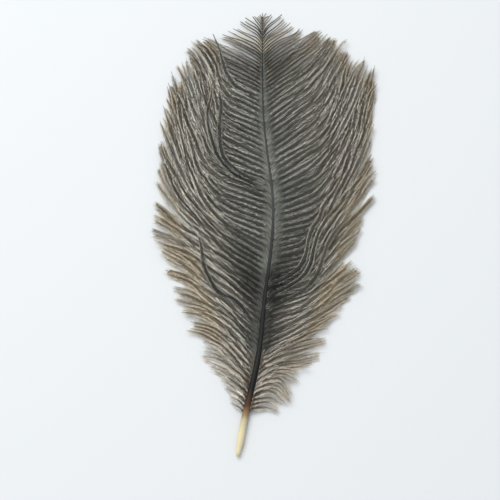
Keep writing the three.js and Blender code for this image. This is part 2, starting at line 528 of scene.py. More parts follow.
def grow_barbs(side, roots, rng, form):
    """A side's barbs from their root stations to the outline, with the stations they all have."""
    path, length = follow_flow(side, roots, rng, form)
    flat = resampled(path, length, form["joints"])
    clump = clumps_of(len(roots), *form["clump"], rng)
    pull = rng.uniform(*form["pull"], clump.max() + 1)[clump]
    flat = gathered(flat, clump, pull, form["pull_from"])
    flat = curled(flat, rng, form)
    flat, roots = with_companions(flat, roots, form["widest_gap"])
    clump = clumps_of(len(roots), *form["clump"], rng)
    pull = rng.uniform(*form["low_pull"], clump.max() + 1)[clump]
    pull = pull * (1 - smoothstep(*form["low_pull_ends"], roots))
    flat = gathered(flat, clump, pull, form["pull_from"])
    length = steps_of(flat).sum(1)
    short = form["uneven"] * np.abs(rng.normal(size=len(flat)))
    length = length - np.minimum(short, form["uneven_most"] * length)
    flat = resampled(flat, length, form["joints"])
    height = barb_heights(side, roots, clump, length, rng, form)
    return Barbs(np.concatenate([flat, height[..., None]], 2), side), roots


def smooth_line(points, count):
    """Evenly counted places on a smooth line through points."""
    points = np.array(points, float)
    ends = [2 * points[0] - points[1]], points, [2 * points[-1] - points[-2]]
    ends = np.concatenate(ends)
    place = np.linspace(0, len(points) - 1, count)
    first = np.minimum(place.astype(int), len(points) - 2)
    t = (place - first)[:, None]
    a, b, c, d = (ends[first + k] for k in range(4))
    curve = (c - a) * t + (2 * a - 5 * b + 4 * c - d) * t**2 + (3 * b - a - 3 * c + d) * t**3
    return b + curve / 2


def stray_barbs(side, strays, form):
    """The barbs that strayed over the rest."""
    lines = []
    for points in strays:
        flat = smooth_line(points, form["joints"] + 1)
        share = np.linspace(0, 1, len(flat))
        base = side.shaft.z(points[0][1]) + form["root_height"]
        height = base + (STRAY_HEIGHT - base) * smoothstep(*STRAY_CLIMBS, share)
        height = height + (form["drop"][1] - height) * smoothstep(*STRAY_SINKS, share)
        lines.append(np.concatenate([flat, height[:, None]], 1))
    return Barbs(np.array(lines), side)


def root_reach(length):
    """How much of a barb beside the shaft is pale: less on short barbs."""
    short, long = ROOT_GROWS
    return ROOT_REACH * np.clip((length - short) / (long - short), LEAST_ROOT, 1)


def map_place(barb, count, arc, length, across):
    """Where a point is on the strands' map: U across it, and V in the barb's own strip."""
    reach = root_reach(length)
    near = np.minimum(arc / reach, 1)
    far = np.clip((arc - reach) / np.maximum(length - reach, TINY), 0, 1)
    place = ROOT_SHARE * near + (1 - ROOT_SHARE) * far
    v = (barb + STRIP_MARGIN + (1 - 2 * STRIP_MARGIN) * place) / count
    return np.stack(np.broadcast_arrays(across, v), -1)


def barb_tubes(barbs, root_radius, tip_radius):
    """Vertices, faces and map places of the barbs' own shafts, as closed four-sided tubes."""
    count, rings = barbs.line.shape[:2]
    way = unit(np.gradient(barbs.line, axis=1))
    across = aside_of(way)
    up = np.cross(across, way)
    share = np.linspace(0, 1, rings)
    full = np.minimum(1, THIN_BARB + barbs.length / THICKENS_OVER)[:, None, None]
    radius = (root_radius + (tip_radius - root_radius) * share**BARB_TAPER)[None, :, None] * full
    high = up * radius * FLATNESS
    corners = [across * radius, high, -across * radius, -high]
    points = np.stack([barbs.line + corner for corner in corners], 2).reshape(-1, 3)
    ring = (np.arange(count)[:, None] * rings + np.arange(rings - 1)).reshape(-1, 1, 1) * 4
    turn = np.array([[k, k + 4, (k + 1) % 4 + 4, (k + 1) % 4] for k in range(4)])
    start = np.arange(count)[:, None] * rings * 4
    caps = np.concatenate([start + [0, 1, 2, 3], start + (rings - 1) * 4 + [3, 2, 1, 0]])
    faces = np.concatenate([(ring + turn[None]).reshape(-1, 4), caps])
    number = np.arange(count)[:, None, None]
    length = barbs.length[:, None, None]
    places = map_place(number, count, share[None, :, None] * length, length, BARB_ON_MAP)
    return points, faces, places.reshape(-1, 2)


class Barbules:
    """The barbules of some barbs: which barb each is on, where along it and on which edge."""

    def __init__(self, barbs, rng, form):
        extra = form["root_extra"]
        each = np.maximum(((barbs.length + extra) / form["spacing"]).astype(int), 2)
        self.barbs = barbs
        self.barb = barb = np.repeat(np.arange(len(each)), each)
        order = np.arange(len(barb)) - np.repeat(each.cumsum() - each, each)
        place = (order + rng.uniform(0, 1, len(barb))) / each[barb]
        bare = form["bare_tip"] * rng.uniform(form["bare_least"], 1, len(each))
        bare = np.minimum(bare, barbs.length / form["bare_part"])
        place = place * ((barbs.length - bare)[barb] + extra)
        reach = extra + ROOT_REACH  # twice as many or more within ROOT_REACH of the shaft
        self.arc = np.where(place < reach, place * ROOT_REACH / reach, place - extra)
        self.length = barbs.length[barb]
        self.share = self.arc / self.length
        self.before_tip = np.clip((self.length - self.arc) / form["taper_reach"], 0, 1)
        self.base, self.way = barbs.at(barb, self.share)
        self.across = aside_of(self.way) * np.where(order % 2, 1.0, -1.0)[:, None]
        self.low = rng.uniform(size=len(barb)) < form["low_share"]  # these hang below the rest

    def reach(self, rng, form):
        """How long each is: shorter beside the shaft, near the barb's tip and on short barbs."""
        long = form["length"] * np.minimum(1, (self.arc + form["short_base"]) / form["full_from"])
        long = long * (form["tip_reach"] + (1 - form["tip_reach"]) * self.before_tip)
        grown = (self.length - form["short_barb"]) / (form["full_barb"] - form["short_barb"])
        long = long * np.clip(grown, form["least_reach"], 1)
        long = long * rng.uniform(*form["own_reach"], len(long))
        return long * np.where(self.low, form["low_reach"], 1)

    def spread(self, rng, form):
        """How wide each opens from its barb, as a share."""
        count = len(self.barbs.length)
        wave = rng.uniform(0, 2 * np.pi, count)[self.barb]
        wave = wave + 2 * np.pi * self.arc / form["spread_wave"]
        spread = (1 + rng.normal(0, form["own_spread"], count))[self.barb]
        spread = spread + form["spread_swing"] * np.sin(wave)
        # Where barbs run up along the shaft they crowd, and their barbules fold in.
        crowded = 1 - np.minimum(np.abs(self.way[:, 0]) / form["free_slope"], 1)
        spread = spread * (1 - form["fold"] * crowded)
        return spread * (form["tip_spread"] + (1 - form["tip_spread"]) * self.before_tip)

    def direction(self, angle, rise, spread, rng, form):
        """The way that each one's foot or end goes, at an angle from its barb."""
        near = 1 - smoothstep(*form["band"], self.arc)  # lies over the barbs beside the shaft
        angle = angle * (1 - form["narrowing"] * self.share) * spread
        lean = np.radians(rng.normal(angle, form["wander"], len(spread)))
        climb = np.radians(rng.normal(rise, form["rise_jitter"], len(spread)))
        climb = climb + np.radians(near * form["band_rise"] - form["low_droop"] * self.low)
        flat = self.way * np.cos(lean)[:, None] + self.across * np.sin(lean)[:, None]
        flat *= np.cos(climb)[:, None]
        flat[:, 2] += np.sin(climb)
        return flat


def barbules_of(barbs, rng, form):
    """Vertices, faces and map places of the barbules: thin closed spindles with one bend."""
    row = Barbules(barbs, rng, form)
    long = row.reach(rng, form)
    spread = row.spread(rng, form)
    first = row.direction(form["open_angle"], form["rise"], spread, rng, form)
    second = row.direction(form["tip_angle"], form["rise"] / 2, spread, rng, form)
    start = row.base + row.across * form["thickness"] * 0.5
    bend = start + first * (form["bend_at"] * long)[:, None]
    tip = bend + second * ((1 - form["bend_at"]) * long)[:, None]
    for points in (bend, tip):
        barbs.side.clear_of_shaft(points)
        points[:, 2] = np.maximum(points[:, 2], form["lowest"])
    axis = unit(tip - start)
    flat = aside_of(axis)
    up = np.cross(flat, axis)
    thick = form["thickness"] / 2 * rng.uniform(*form["own_thickness"], len(long))
    thick = (thick * (1 - form["thinning"] * row.share))[:, None]
    turns = np.radians([90, 210, 330])
    ring = [bend + thick * (math.cos(a) * flat + FLATNESS * math.sin(a) * up) for a in turns]
    points = np.stack([start, *ring, tip], 1).reshape(-1, 3)
    shape = np.array([[0, 1, 2], [0, 2, 3], [0, 3, 1], [4, 2, 1], [4, 3, 2], [4, 1, 3]])
    faces = (np.arange(len(long))[:, None, None] * 5 + shape[None]).reshape(-1, 3)
    barb, arc, length = (values[:, None] for values in (row.barb, row.arc, row.length))
    places = map_place(barb, len(barbs.length), arc, length, BARBULE_ON_MAP)
    places[..., 1] += np.array([0, -1, 0, 1, 0]) * BARBULE_WIDTH_ON_MAP
    return points, faces, places.reshape(-1, 2)


def strand_object(name, made, material):
    """A mesh object of strands, from vertices in millimetres, faces and map places."""
    points, faces, places = made
    mesh = bpy.data.meshes.new(name)
    corners = faces.shape[1]
    mesh.vertices.add(len(points))
    mesh.vertices.foreach_set("co", (points * MM).astype(np.float32).ravel())
    mesh.loops.add(faces.size)
    mesh.loops.foreach_set("vertex_index", faces.astype(np.int32).ravel())
    mesh.polygons.add(len(faces))
    mesh.polygons.foreach_set("loop_start", np.arange(0, faces.size, corners, dtype=np.int32))
    mesh.polygons.foreach_set("use_smooth", np.ones(len(faces), bool))
    layer = mesh.uv_layers.new(name=STRAND_MAP)
    layer.uv.foreach_set("vector", places[faces.ravel()].astype(np.float32).ravel())
    mesh.update(calc_edges=True)
    mesh.validate()
    mesh.materials.append(material)
    made_object = bpy.data.objects.new(name, mesh)
    bpy.context.scene.collection.objects.link(made_object)
    return made_object


# ---------------------------------------------------------------- materials


class Tree:
    """The nodes of a material or a group, with short ways to add linked ones."""

    MIX_SOCKETS = (0, 6, 7)  # a colour Mix node's factor and its two colours
    MIX_RESULT = 2
    NOISE_RANGE = (0.3, 0.7)  # where nearly all of a noise's values lie

    def __init__(self, tree):
        self.nodes = tree.nodes
        self.links = tree.links

    def feed(self, socket, source):
        """Links a socket to another node's output, or sets its value."""
        if isinstance(source, bpy.types.NodeSocket):
            self.links.new(source, socket)
        else:
            socket.default_value = source

    def add(self, kind, inputs=(), **settings):
        """A new node with its settings, its inputs linked or set by their names or numbers."""
        node = self.nodes.new("ShaderNode" + kind)
        for name, value in settings.items():
            setattr(node, name, value)
        for label, source in dict(inputs).items():
            self.feed(node.inputs[label], source)
        return node

    def group(self, made, values):
        """A shader node group placed in this tree with its own values."""
        return self.add("Group", values, node_tree=made)

    def maths(self, operation, *sources):
        return self.add("Math", enumerate(sources), operation=operation).outputs[0]

    def mixed(self, factor, one, other, way="MIX"):
        sources = zip(self.MIX_SOCKETS, (factor, one, other))
        return self.add("Mix", sources, data_type="RGBA", blend_type=way).outputs[self.MIX_RESULT]

    def turned(self, value, low, high, start=0.0, end=1.0):
        """From start to end as the value passes from low to high, smoothly."""
        ends = {"From Min": low, "From Max": high, "To Min": start, "To Max": end}
        node = self.add("MapRange", {"Value": value} | ends, interpolation_type="SMOOTHSTEP")
        return node.outputs["Result"]

    def pattern(self, x, y, noise):
        """A flat noise from about -1 to 1 over x and y."""
        place = self.add("CombineXYZ", {"X": x, "Y": y}).outputs["Vector"]
        inputs = {"Vector": place, "Scale": 1.0} | noise
        node = self.add("TexNoise", inputs, noise_dimensions="2D")
        return self.turned(node.outputs["Fac"], *self.NOISE_RANGE, -1.0, 1.0)


def new_group(name, inputs, outputs):
    """A shader node group: its tree, its inputs as sources inside it, and its output node.

    Both tables are by name: an input's default, which is a number or a colour, or an output's type.
    """
    group = bpy.data.node_groups.new(name, "ShaderNodeTree")
    for label, value in inputs.items():
        kind = "NodeSocketColor" if isinstance(value, tuple) else "NodeSocketFloat"
        socket = group.interface.new_socket(name=label, in_out="INPUT", socket_type=kind)
        socket.default_value = value
    for label, kind in outputs.items():
        group.interface.new_socket(name=label, in_out="OUTPUT", socket_type=kind)
    given = group.nodes.new("NodeGroupInput").outputs
    return Tree(group), given, group.nodes.new("NodeGroupOutput")


# What the strands' map says of a point, with the values before anything is linked: how far along
# the strand and outward on its barb, a random number and a place in the row for each barb, and
# two patterns.
PLACE = {"Along": 0.5, "Outward": 0.5, "Barb": 0.5, "Station": 0.5, "Grain": 0.0, "Cloud": 0.0}
GRAIN_FINENESS = (0.6, 28.0)  # along a strand and from one strand to the next
CLOUD_FINENESS = (4.0, 0.3)  # along a barb and from one barb to the next

# A strand's colours: beside the shaft, over the inner and outer barb and at its tip, the dark ones
# at a barbule's foot and the pale ones over the rest of it.
TONES = ("Root", "Dark", "Pale", "Outer Dark", "Outer Pale", "Tip Dark", "Tip Pale")
GREY = (0.2, 0.2, 0.2, 1)
FOOT_VARIES = (0.75, 0.5)  # the least length of a foot, as a share, and how much more it may have
FOOT_SOFTNESS = 0.25  # how much of a foot's length it fades over, on either side of its end
ROOT_FADES = (ROOT_SHARE * 0.6, ROOT_SHARE * 1.05)
TURN_VARIES = 0.16  # how much sooner or later a barb turns to its outer colours, in all
TIP_VARIES = 0.14
TIP_FADES = 0.16
ROUGHNESS = (0.12, 0.62)  # how much of it is grain, and how much is even


def place_group():
    """Reads the strands' map: across the strand, outward along its barb, and which barb."""
    name = "Strand Place"
    if name in bpy.data.node_groups:
        return bpy.data.node_groups[name]
    tree, given, result = new_group(name, {"Strips": 20.0}, dict.fromkeys(PLACE, "NodeSocketFloat"))
    place = tree.add("UVMap", uv_map=STRAND_MAP).outputs["UV"]
    split = tree.add("SeparateXYZ", {"Vector": place}).outputs
    strips = tree.maths("MULTIPLY", split["Y"], given["Strips"])
    number = tree.maths("FLOOR", strips)
    inside = tree.maths("SUBTRACT", tree.maths("FRACT", strips), STRIP_MARGIN)
    chance = tree.add("TexWhiteNoise", {"W": number}, noise_dimensions="1D")

    def fine(x, y, fineness):
        """Two places along a pattern's directions, at its fineness in each."""
        return [tree.maths("MULTIPLY", way, times) for way, times in zip((x, y), fineness)]

    grain_place = fine(split["X"], strips, GRAIN_FINENESS)
    cloud_place = fine(inside, number, CLOUD_FINENESS)
    found = {
        "Along": split["X"],
        "Outward": tree.maths("DIVIDE", inside, 1 - 2 * STRIP_MARGIN),
        "Barb": chance.outputs["Value"],
        "Station": tree.maths("DIVIDE", number, given["Strips"]),
        "Grain": tree.pattern(*grain_place, {"Detail": 3.0, "Roughness": 0.7}),
        "Cloud": tree.pattern(*cloud_place, {"Detail": 1.0}),
    }
    for label, source in found.items():
        tree.feed(result.inputs[label], source)
    return bpy.data.node_groups[name]


def colour_group():
    """Colour over one strand: foot to tip, shaft to outline, lower barbs to upper, mottled."""
    name = "Strand Colour"
    if name in bpy.data.node_groups:
        return bpy.data.node_groups[name]
    reach = {"Tip Start": 0.8, "Foot End": 0.3, "Turn": 0.3, "Turned": 1.0}
    shade = {"Low Tone": 1.0, "High Tone": 1.0, "Barb Spread": 0.3, "Mottle": 0.3, "Patches": 0.15}
    inputs = PLACE | dict.fromkeys(TONES, GREY) | reach | shade
    outputs = {"Colour": "NodeSocketColor", "Roughness": "NodeSocketFloat"}
    tree, given, result = new_group(name, inputs, outputs)
    maths, mixed, turned = tree.maths, tree.mixed, tree.turned
    outward, barb = given["Outward"], given["Barb"]

    def own_start(start, spread):
        """Each barb starts to turn at its own place, within a spread about the start."""
        return maths("MULTIPLY_ADD", barb, spread, maths("SUBTRACT", start, spread / 2))

    least, more = FOOT_VARIES
    foot_end = maths("MULTIPLY", given["Foot End"], maths("MULTIPLY_ADD", barb, more, least))
    fades = [maths("MULTIPLY", foot_end, part) for part in (1 - FOOT_SOFTNESS, 1 + FOOT_SOFTNESS)]
    foot = turned(given["Along"], *fades)
    inner = mixed(foot, given["Dark"], given["Pale"])
    inner = mixed(turned(outward, *ROOT_FADES), given["Root"], inner)
    tone = turned(given["Station"], 0.0, 1.0, given["Low Tone"], given["High Tone"])
    inner = mixed(1.0, inner, tone, "MULTIPLY")
    outer = mixed(foot, given["Outer Dark"], given["Outer Pale"])
    start = own_start(given["Turn"], TURN_VARIES)
    colour = mixed(turned(outward, start, given["Turned"]), inner, outer)
    tip = mixed(foot, given["Tip Dark"], given["Tip Pale"])
    start = own_start(given["Tip Start"], TIP_VARIES)
    colour = mixed(turned(outward, start, maths("ADD", start, TIP_FADES)), colour, tip)
    swing = maths("MULTIPLY", maths("SUBTRACT", barb, 0.5), given["Barb Spread"])
    swing = maths("MULTIPLY_ADD", given["Grain"], given["Mottle"], swing)
    swing = maths("MULTIPLY_ADD", given["Cloud"], given["Patches"], swing)
    colour = mixed(1.0, colour, maths("ADD", swing, 1.0), "MULTIPLY")
    tree.feed(result.inputs["Colour"], colour)
    roughness = maths("MULTIPLY_ADD", given["Grain"], *ROUGHNESS)
    tree.feed(result.inputs["Roughness"], roughness)
    return bpy.data.node_groups[name]


def new_material(name):
    """A material, its tree and its Principled shader."""
    material = bpy.data.materials.new(name)
    material.use_nodes = True
    tree = Tree(material.node_tree)
    return material, tree, tree.nodes["Principled BSDF"]


def blend(one, other, share):
    """A colour that is a share of the way from one to another."""
    return Vector(one).lerp(Vector(other), share)


def strand_material(name, strips, specular, root, inner, outer, tip, **finish):
    """A finish for barbs or barbules: inner, outer and tip are each a dark and a pale colour."""
    material, tree, shader = new_material(name)
    place = tree.group(place_group(), {"Strips": strips}).outputs
    colours = {label: (*tone, 1) for label, tone in zip(TONES, (root, *inner, *outer, *tip))}
    amounts = {label.replace("_", " ").title(): amount for label, amount in finish.items()}
    linked = {label: place[label] for label in PLACE}
    colour = tree.group(colour_group(), linked | colours | amounts)
    tree.feed(shader.inputs["Base Color"], colour.outputs["Colour"])
    tree.feed(shader.inputs["Roughness"], colour.outputs["Roughness"])
    tree.feed(shader.inputs["Specular IOR Level"], specular)
    return material


def keep(piece, node, slot):
    """Gives a finished piece its body and hides the packed node that it stands for; the slot is not
    used.
    """
    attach(piece, "root")
    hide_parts(node)


# ---------------------------------------------------------------- settings


def colour_property(name, description, default):
    return FloatVectorProperty(
        name=name, description=description, default=default, subtype="COLOR", min=0, max=1, size=3
    )


def length_property(name, description, millimetres):
    default = millimetres * MM
    return FloatProperty(name=name, description=description, default=default, unit="LENGTH")


def angle_property(name, description, degrees):
    default = math.radians(degrees)
    return FloatProperty(name=name, description=description, default=default, subtype="ANGLE")


class FEATHER_PG_stage(PropertyGroup):
    """Camera, floor and light."""

    distance: length_property("Camera distance", "From the camera to what it looks at", 530.4)
    azimuth: angle_property("Azimuth", "How far right of the quill's end the camera stands", 13.15)
    elevation: angle_property("Elevation", "How far the camera looks down", 63.57)
    roll: angle_property("Roll", "How far the camera is turned about its own axis", 11.42)
    lens: FloatProperty(
        name="Focal length", description="Of the camera, in millimetres", default=112.6
    )
    target: FloatVectorProperty(
        name="Looks at",
        description="The point on the floor that the camera looks at",
        default=(-0.00337, -0.011, 0.0),
        subtype="TRANSLATION",
        unit="LENGTH",
    )
    floor_colour: colour_property("Floor", "The pale floor's colour", (0.66, 0.68, 0.69))
    light: FloatProperty(
        name="Light", description="Power of the large lamp overhead, in watts", default=7.4
    )
    sky: FloatProperty(
        name="Sky", description="Strength of the light from all round", default=0.74
    )
    sky_colour: colour_property("Sky colour", "Of the light from all round", (0.95, 0.975, 1))


class FEATHER_PG_shaft(PropertyGroup):
    """The quill and rachis."""

    rings: IntProperty(
        name="Rings", description="Steps along the shaft", default=90, min=20, max=200
    )
    sides: IntProperty(
        name="Sides", description="Sides of the shaft's section", default=16, min=8, max=32
    )
    groove: FloatProperty(
        name="Groove",
        description="Depth of the groove along the rachis, as a share of its radius",
        default=0.28,
    )
    rachis: colour_property("Rachis", "The shaft between the vanes", (0.017, 0.018, 0.018))
    rachis_tip: colour_property("Rachis tip", "The shaft's thin end", (0.016, 0.014, 0.011))
    brown: colour_property("Brown quill", "Just below the vanes", (0.075, 0.036, 0.015))
    amber: colour_property("Amber quill", "Where ivory turns to brown", (0.3, 0.19, 0.1))
    ivory: colour_property("Ivory quill", "The bare quill's end", (0.68, 0.6, 0.38))


class FEATHER_PG_vane(PropertyGroup):
    """Both vanes."""

    barb_root: length_property("Barb root", "A barb's thickness where it leaves the shaft", 0.56)
    barb_tip: length_property("Barb tip", "A barb's thickness at its tip", 0.1)
    barbule_spacing: length_property(
        "Barbule spacing", "Between barbules along a barb, counting both its edges", 0.0895
    )
    barbule_length: length_property("Barbule length", "Typical length of a barbule", 2.5)
    barbule_thickness: length_property("Barbule thickness", "At its thickest", 0.2)
    barb_colour: colour_property("Barb", "A barb over most of its length", (0.052, 0.052, 0.0455))
    barb_root_colour: colour_property(
        "Barb by shaft", "A barb where it leaves the shaft", (0.2, 0.2, 0.175)
    )
    barb_outer_colour: colour_property("Outer barb", "A barb's outer half", (0.087, 0.076, 0.058))
    barb_tip_colour: colour_property("Barb tip", "A barb's outer end", (0.132, 0.1, 0.062))
    barb_warm_colour: colour_property(
        "Upper barb", "The barbs at the feather's tip", (0.08, 0.064, 0.043)
    )
    barbule_colour: colour_property("Barbule", "The pale barbules", (0.765, 0.765, 0.675))
    barbule_foot_colour: colour_property(
        "Barbule foot", "A barbule where it leaves the barb", (0.076, 0.077, 0.068)
    )
    barbule_root_colour: colour_property(
        "Barbule by shaft", "The barbules beside the shaft", (0.27, 0.275, 0.24)
    )
    barbule_outer_colour: colour_property(
        "Outer barbule", "The barbules in the outer half of the vane", (0.91, 0.875, 0.775)
    )
    barbule_outer_foot_colour: colour_property(
        "Outer barbule foot", "Their feet, in the outer half of the vane", (0.15, 0.135, 0.107)
    )
    barbule_tip_colour: colour_property(
        "Barbule at edge", "The barbules at the vane's edge", (0.83, 0.74, 0.575)
    )
    barbule_edge_foot_colour: colour_property(
        "Barbule foot at edge", "Their feet, at the vane's edge", (0.225, 0.182, 0.124)
    )
    barbule_warm_foot_colour: colour_property(
        "Upper barbule foot", "Their feet, at the feather's tip", (0.15, 0.122, 0.082)
    )
    left_seed: IntProperty(name="Left seed", description="Of the left vane's disorder", default=3)
    right_seed: IntProperty(
        name="Right seed", description="Of the right vane's disorder", default=3
    )


class FEATHER_PG_down(PropertyGroup):
    """Both tufts of down."""

    barb_root: length_property("Barb root", "A downy barb's thickness beside the shaft", 0.6)
    barb_tip: length_property("Barb tip", "A downy barb's thickness at its tip", 0.06)
    left_reach: length_property(
        "Left reach", "How far past the packed tuft's outline the left one's wisps reach", 0
    )
    right_reach: length_property(
        "Right reach", "The same for the right tuft, whose wisps curl down", 4.5
    )
    barbule_length: length_property("Barbule length", "Typical length of a downy barbule", 2.8)
    barb_colour: colour_property("Barb", "A downy barb", (0.062, 0.045, 0.028))
    barb_tip_colour: colour_property("Barb tip", "A downy barb's outer end", (0.25, 0.18, 0.11))
    barbule_foot_colour: colour_property(
        "Barbule foot", "A downy barbule where it leaves the barb", (0.19, 0.155, 0.112)
    )
    barbule_colour: colour_property("Barbule", "The downy barbules", (0.84, 0.78, 0.68))
    tip_colour: colour_property("Tips", "The down's outer ends", (0.8, 0.71, 0.57))
    seed: IntProperty(name="Seed", description="Of the down's disorder", default=21)


SETTINGS = {
    "feather_stage": FEATHER_PG_stage,
    "feather_shaft": FEATHER_PG_shaft,
    "feather_vane": FEATHER_PG_vane,
    "feather_down": FEATHER_PG_down,
}


# ---------------------------------------------------------------- operators


class FEATHER_OT_stage(Operator):
    """Sets the camera, the pale floor and the soft light"""

    bl_idname = "feather.stage"
    bl_label = "Stage"

    FLOOR_SIZE = 4
    FLOOR_ROUGHNESS = 0.7
    LAMP_SIZE = 0.9
    LAMP_PLACE = (-0.35, 0.3, 0.85)

    def execute(self, context):
        given = context.scene.feather_stage
        self.camera(context, given)
        self.floor(given)
        self.light(context, given)
        context.scene.view_settings.view_transform = "Standard"
        return {"FINISHED"}

    def camera(self, context, given):
        level = math.cos(given.elevation)
        x, y = math.sin(given.azimuth) * level, -math.cos(given.azimuth) * level
        back = Vector((x, y, math.sin(given.elevation)))
        data = bpy.data.cameras.new("camera")
        data.lens = given.lens
        camera = bpy.data.objects.new("camera", data)
        context.scene.collection.objects.link(camera)
        turn = (-back).to_track_quat("-Z", "Y").to_matrix() @ Matrix.Rotation(-given.roll, 3, "Z")
        place = Vector(given.target) + back * given.distance
        camera.matrix_world = Matrix.Translation(place) @ turn.to_4x4()
        context.scene.camera = camera

    def floor(self, given):
        bpy.ops.object.select_all(action="DESELECT")
        bpy.ops.mesh.primitive_plane_add(size=self.FLOOR_SIZE, location=(0, 0, 0))
        floor = bpy.context.object
        floor.name = "floor"
        material, tree, shader = new_material("Pale floor")
        tree.feed(shader.inputs["Base Color"], (*given.floor_colour, 1))
        tree.feed(shader.inputs["Roughness"], self.FLOOR_ROUGHNESS)
        floor.data.materials.append(material)

    def light(self, context, given):
        lamp = bpy.data.lights.new("overhead", "AREA")
        lamp.shape = "DISK"
        lamp.size = self.LAMP_SIZE
        lamp.energy = given.light
        overhead = bpy.data.objects.new("overhead", lamp)
        overhead.location = self.LAMP_PLACE
        overhead.rotation_euler = (-overhead.location).to_track_quat("-Z", "Y").to_euler()
        context.scene.collection.objects.link(overhead)
        world = bpy.data.worlds.new("sky")
        world.use_nodes = True
        background = world.node_tree.nodes["Background"]
        background.inputs["Color"].default_value = (*given.sky_colour, 1)
        background.inputs["Strength"].default_value = given.sky
        context.scene.world = world


class FEATHER_OT_shaft(Operator):
    """Models the quill and rachis by extruding a ring along the packed shaft"""

    bl_idname = "feather.shaft"
    bl_label = "Shaft"

    CLOSER = 0.25  # how much closer the rings are at the quill
    GROOVE_STARTS = (22, 40)  # the stations over which the groove gets its full depth
    GROOVE_WIDTH = 0.4  # as a share of the radius
    GRAIN_SCALE = 900.0
    GRAIN_STRETCH = (1, 0.08, 1)
    GRAIN_SHIFT = 0.012  # how far the grain moves the colours, as a share of the shaft's length
    ROUGHNESS = {"To Min": 0.42, "To Max": 0.6}
    RELIEF = {"Strength": 0.3, "Distance": 0.05 * MM}
    SPECULAR = 0.15

    # The share of the shaft's length where the quill's pale end stops, and where it has got
    # duller, amber and brown.
    PALE_ENDS, DULL, AMBER, BROWN = 0.05, 0.075, 0.085, 0.105
    DULL_TONE = 0.75

    # How many times the rachis's own colour the shaft has, by the share of its length.
    RACHIS_TONES = (
        (0.14, 0.5), (0.28, 0.6), (0.37, 0.5), (0.41, 1.3), (0.47, 1.6), (0.52, 2.5), (0.66, 2.5),
        (0.76, 1.6), (0.88, 0.9),
    )

    def execute(self, context):
        given = context.scene.feather_shaft
        shaft = Shaft()
        bpy.ops.object.select_all(action="DESELECT")
        spread = np.linspace(0, 1, given.rings)
        spread = self.CLOSER * spread**2 + (1 - self.CLOSER) * spread
        ys = shaft.quill + (shaft.tip - shaft.quill) * spread
        radius = shaft.radius(ys)
        before = shaft.middle(ys[0])
        bpy.ops.mesh.primitive_circle_add(
            vertices=given.sides,
            radius=float(radius[0]) * MM,
            fill_type="NGON",
            location=before,
            rotation=(math.pi / 2, 0, 0),
        )
        quill = context.object
        quill.name = "quill_and_rachis"
        bpy.ops.object.transform_apply(location=True, rotation=True, scale=True)
        bpy.ops.object.mode_set(mode="EDIT")
        bpy.ops.mesh.select_all(action="SELECT")
        for i in range(1, given.rings):
            now = shaft.middle(ys[i])
            bpy.ops.mesh.extrude_region_move(TRANSFORM_OT_translate={"value": now - before})
            grow = float(radius[i] / radius[i - 1])
            bpy.ops.transform.resize(value=(grow, 1, grow), center_override=now)
            before = now
        bpy.ops.mesh.select_all(action="SELECT")
        bpy.ops.mesh.normals_make_consistent(inside=False)
        bpy.ops.object.mode_set(mode="OBJECT")
        self.shape(quill, shaft, given)
        bpy.ops.object.shade_smooth()
        quill.data.materials.append(self.keratin(given, shaft))
        keep(quill, "shaft", "keratin")
        return {"FINISHED"}

    def shape(self, quill, shaft, given):
        """Presses the groove into the rachis."""
        points = np.empty(len(quill.data.vertices) * 3, np.float32)
        quill.data.vertices.foreach_get("co", points)
        points = points.reshape(-1, 3) / MM
        y = points[:, 1]
        radius = shaft.radius(y)
        out = (points[:, 0] - shaft.x(y)) / radius
        up = (points[:, 2] - shaft.z(y)) / radius
        along = smoothstep(*self.GROOVE_STARTS, y - shaft.quill)
        groove = np.exp(-((out / self.GROOVE_WIDTH) ** 2)) * (up > 0) * given.groove * along
        points[:, 2] -= groove * radius
        quill.data.vertices.foreach_set("co", (points * MM).astype(np.float32).ravel())
        quill.data.update()

    def keratin(self, given, shaft):
        """Horn that goes from ivory through brown to near black, with a fine grain along it."""
        material, tree, shader = new_material("Keratin")
        place = tree.add("TexCoord").outputs["Object"]
        y = tree.add("SeparateXYZ", {"Vector": place}).outputs["Y"]
        ends = {"From Min": shaft.quill * MM, "From Max": shaft.tip * MM}
        span = tree.add("MapRange", {"Value": y} | ends).outputs["Result"]
        stretch = tree.add("Mapping", {"Vector": place, "Scale": self.GRAIN_STRETCH})
        grain = {"Vector": stretch.outputs["Vector"], "Scale": self.GRAIN_SCALE}
        grain = tree.add("TexNoise", grain).outputs["Fac"]
        shift = tree.maths("MULTIPLY_ADD", grain, self.GRAIN_SHIFT, span)
        ramp = tree.add("ValToRGB", {"Fac": shift})
        stops = ramp.color_ramp.elements
        stops[0].color = (*given.ivory, 1)
        stops[1].color = (*given.rachis_tip, 1)
        for position, colour in (
            (self.PALE_ENDS, given.ivory),
            (self.DULL, Vector(given.ivory) * self.DULL_TONE),
            (self.AMBER, given.amber),
            (self.BROWN, given.brown),
            *((position, Vector(given.rachis) * tone) for position, tone in self.RACHIS_TONES),
        ):
            stops.new(position).color = (*colour, 1)
        tree.feed(shader.inputs["Base Color"], ramp.outputs["Color"])
        rough = tree.add("MapRange", {"Value": grain} | self.ROUGHNESS)
        tree.feed(shader.inputs["Roughness"], rough.outputs["Result"])
        tree.feed(shader.inputs["Specular IOR Level"], self.SPECULAR)
        bump = tree.add("Bump", {"Height": grain} | self.RELIEF)
        tree.feed(shader.inputs["Normal"], bump.outputs["Normal"])
        return material


